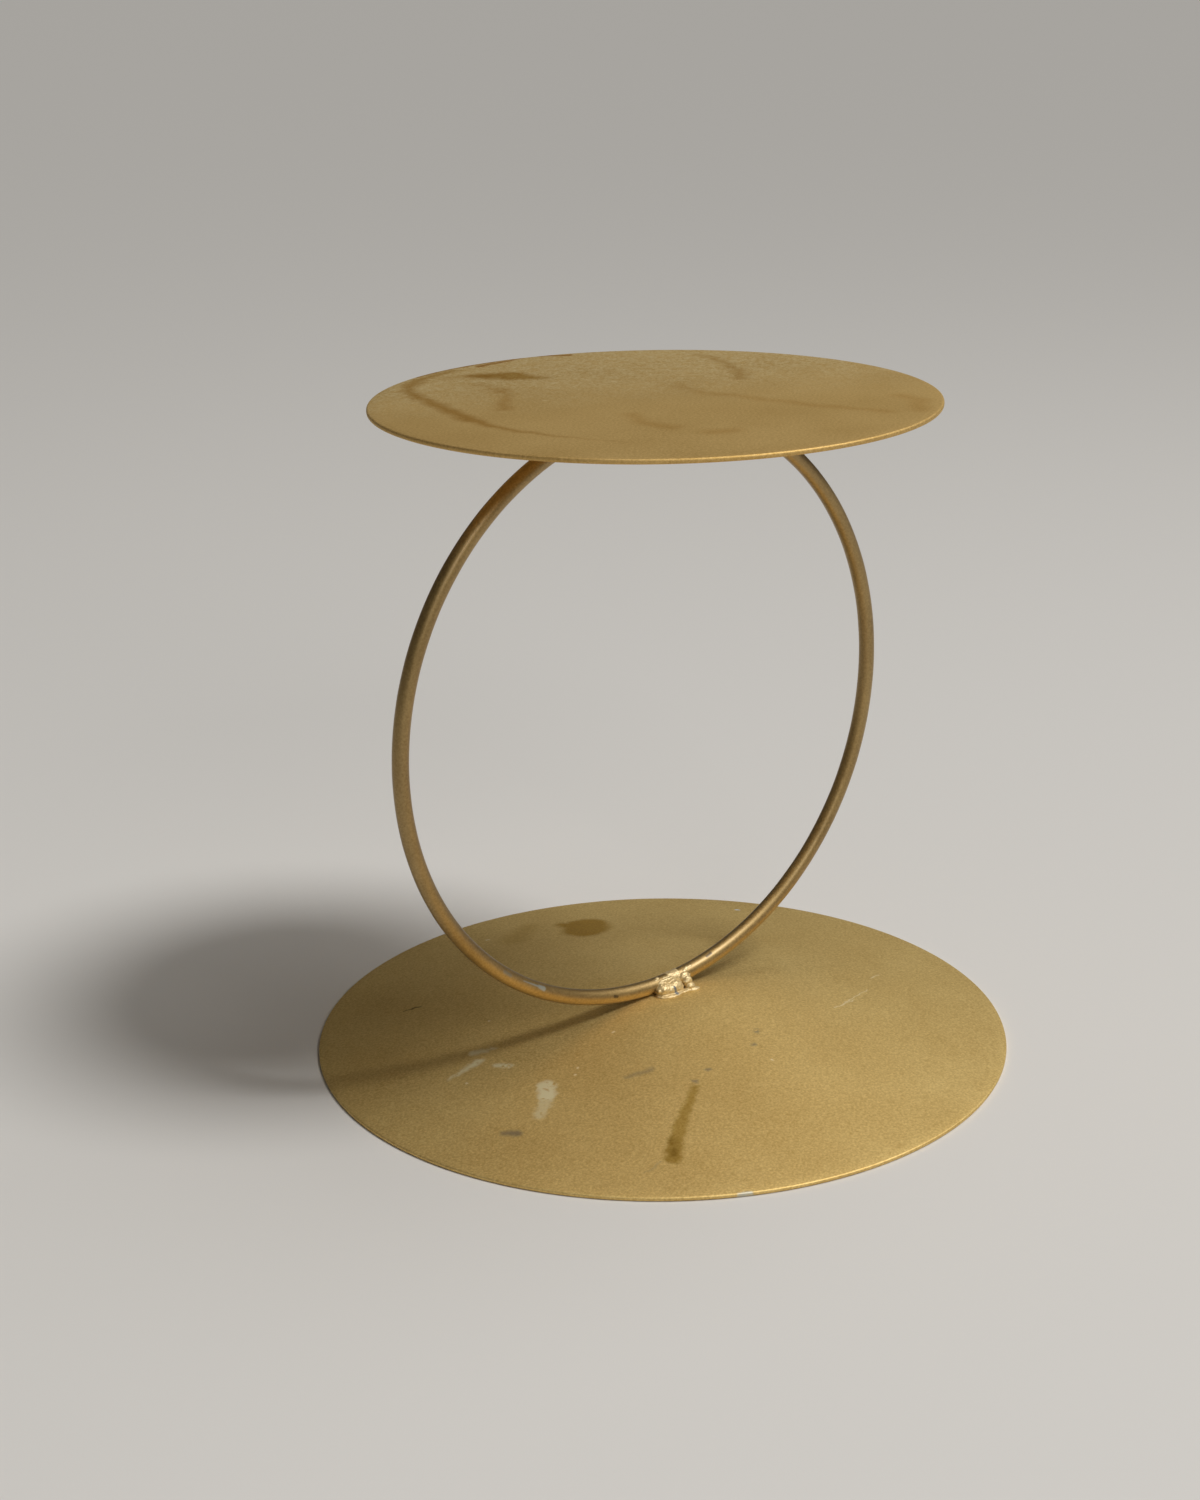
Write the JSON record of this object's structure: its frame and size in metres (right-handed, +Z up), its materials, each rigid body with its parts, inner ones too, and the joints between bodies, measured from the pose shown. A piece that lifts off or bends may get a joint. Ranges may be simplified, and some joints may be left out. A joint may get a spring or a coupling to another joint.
{
  "type": "ring cake stand",
  "caption": "Welded riser for cakes: a flat round plate carried on an upright rod ring that stands on a shallow conical round base, in satin gold lacquer.",
  "frame": {"origin": "on the surface the stand rests on, under the middle of the base", "axes": "+Z up; the ring stands in the XZ plane, 3 mm towards -X from the plates' axis, and its opening faces along Y; the visible foot welds are on the -Y side"},
  "size_m": [0.22, 0.22, 0.2062],
  "materials": {
    "lacquered_sheet": "satin gold metallic lacquer on sheet steel, with runs, stains and scuffs",
    "lacquered_rod": "satin gold metallic lacquer on drawn steel rod",
    "lacquered_weld": "glossy pale gold lacquer pooled over rough weld metal"
  },
  "bodies": {
    "root": {"base_plate": "lacquered_sheet", "support_ring": "lacquered_rod", "top_plate": "lacquered_sheet", "ring_seam_weld": "lacquered_weld", "foot_weld_large": "lacquered_weld", "foot_weld_small": "lacquered_weld", "foot_weld_rear": "lacquered_weld", "top_weld_front": "lacquered_weld", "top_weld_rear": "lacquered_weld"}
  },
  "joints": []
}
